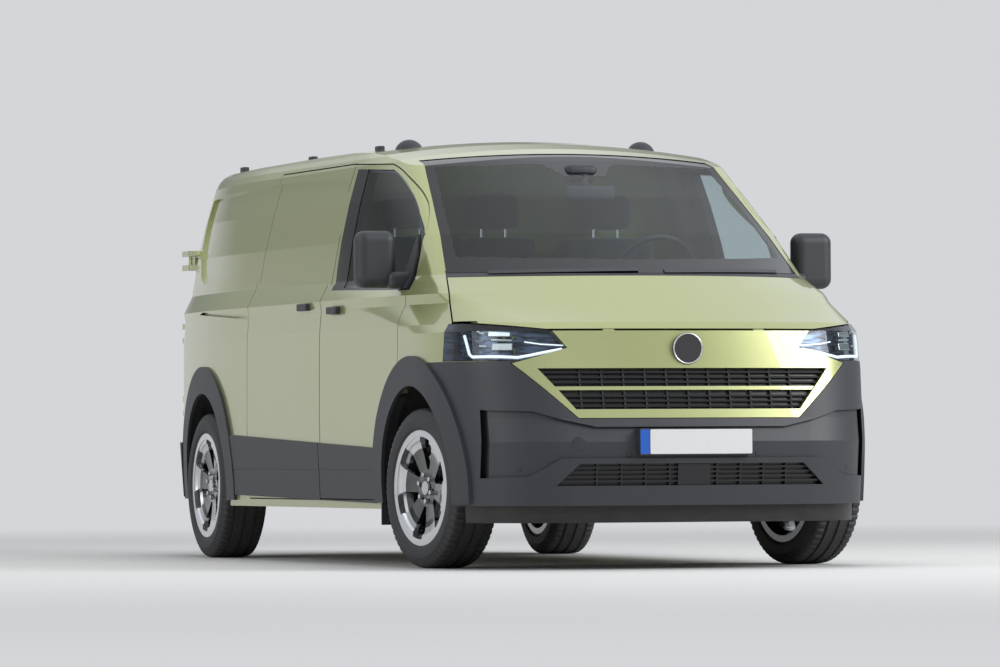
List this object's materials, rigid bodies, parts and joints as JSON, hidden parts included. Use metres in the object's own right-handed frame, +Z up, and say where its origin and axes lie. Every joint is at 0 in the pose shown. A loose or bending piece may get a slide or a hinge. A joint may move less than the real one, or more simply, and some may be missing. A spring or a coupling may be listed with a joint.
{
  "type": "panel van",
  "caption": "Long-wheelbase panel van with opening hood, hinged cab and rear doors, a side loading door, steered front wheels and turning wheels.",
  "frame": {"origin": "middle of the footprint on the ground", "axes": "+X to the van's left side, -Y towards the nose, +Z up"},
  "size_m": [2.296, 5.4148, 1.99],
  "materials": {
    "body_paint": "yellow-green metallic, gloss",
    "inner_paint": "thin body colour, satin",
    "dark_plastic": "grained black",
    "glass": "clear, light grey",
    "tyre": "matt",
    "alloy": "machined faces, gloss black pockets",
    "black_steel": "satin black",
    "exhaust_steel": "dull",
    "seat_cloth": "woven",
    "lamp_clear": "clear lens over dark housing",
    "lamp_red": "red lens",
    "bright_trim": "bare disc"
  },
  "bodies": {
    "body": {"body_shell": "body_paint", "bulkhead": "inner_paint", "claddings": "dark_plastic", "cowl_and_wipers": "dark_plastic", "dashboard": "dark_plastic", "engine": "black_steel", "exhaust": "exhaust_steel", "floor": "inner_paint", "front_axle": "black_steel", "front_bumper": "dark_plastic", "front_disc": "bright_trim", "front_panels": "body_paint", "fuel_tank": "black_steel", "grilles": "dark_plastic", "headlamps": "lamp_clear", "inner_frame": "inner_paint", "rear_axle": "black_steel", "rear_bumper": "dark_plastic", "roof": "body_paint", "roof_fittings": "dark_plastic", "seats": "seat_cloth", "sliding_door": "body_paint", "steering_wheel": "dark_plastic", "tail_lamps": "lamp_red", "underbody_panels": "black_steel", "windscreen": "glass"},
    "hood": {"hood": "body_paint"},
    "front_door_left": {"front_door_left": "body_paint", "front_glass_left": "glass", "front_door_trim_left": "dark_plastic"},
    "front_door_right": {"front_door_right": "body_paint", "front_glass_right": "glass", "front_door_trim_right": "dark_plastic"},
    "rear_door_left": {"rear_door_left": "body_paint"},
    "rear_door_right": {"rear_door_right": "body_paint"},
    "steer_left": {"knuckle_left": "black_steel"},
    "steer_right": {"knuckle_right": "black_steel"},
    "wheel_front_left": {"tyre_front_left": "tyre", "rim_front_left": "alloy"},
    "wheel_front_right": {"tyre_front_right": "tyre", "rim_front_right": "alloy"},
    "wheel_rear_left": {"tyre_rear_left": "tyre", "rim_rear_left": "alloy"},
    "wheel_rear_right": {"tyre_rear_right": "tyre", "rim_rear_right": "alloy"}
  },
  "joints": [
    {"name": "hood_hinge", "type": "hinge", "parent": "body", "child": "hood", "pos_m": [0, -1.73, 1.305], "axis": [-1, 0, 0], "range_deg": [0, 50]},
    {"name": "front_door_left_hinge", "type": "hinge", "parent": "body", "child": "front_door_left", "pos_m": [0.985, -1.55, 0.8], "axis": [0, 0, -1], "range_deg": [0, 65]},
    {"name": "front_door_right_hinge", "type": "hinge", "parent": "body", "child": "front_door_right", "pos_m": [-0.985, -1.55, 0.8], "axis": [0, 0, 1], "range_deg": [0, 65]},
    {"name": "rear_door_left_hinge", "type": "hinge", "parent": "body", "child": "rear_door_left", "pos_m": [0.806, 2.64, 1.13], "axis": [0, 0, -1], "range_deg": [0, 170]},
    {"name": "rear_door_right_hinge", "type": "hinge", "parent": "body", "child": "rear_door_right", "pos_m": [-0.806, 2.64, 1.13], "axis": [0, 0, 1], "range_deg": [0, 170]},
    {"name": "steer_left_pivot", "type": "hinge", "parent": "body", "child": "steer_left", "pos_m": [0.79, -1.74, 0.359], "axis": [0, 0, 1], "range_deg": [-44.45, 25.55]},
    {"name": "steer_right_pivot", "type": "hinge", "parent": "body", "child": "steer_right", "pos_m": [-0.79, -1.74, 0.359], "axis": [0, 0, 1], "range_deg": [-44.45, 25.55]},
    {"name": "wheel_front_left_spin", "type": "hinge", "parent": "steer_left", "child": "wheel_front_left", "pos_m": [0.86694, -1.72719, 0.359], "axis": [0.9864, 0.1642, 0], "continuous": true},
    {"name": "wheel_front_right_spin", "type": "hinge", "parent": "steer_right", "child": "wheel_front_right", "pos_m": [-0.86694, -1.75281, 0.359], "axis": [0.9864, 0.1642, 0], "continuous": true},
    {"name": "wheel_rear_left_spin", "type": "hinge", "parent": "body", "child": "wheel_rear_left", "pos_m": [0.868, 1.76, 0.359], "axis": [1, 0, 0], "continuous": true},
    {"name": "wheel_rear_right_spin", "type": "hinge", "parent": "body", "child": "wheel_rear_right", "pos_m": [-0.868, 1.76, 0.359], "axis": [1, 0, 0], "continuous": true}
  ],
  "couplings": [
    {"joint": "steer_right_pivot", "follows": "steer_left_pivot", "ratio": 1}
  ]
}
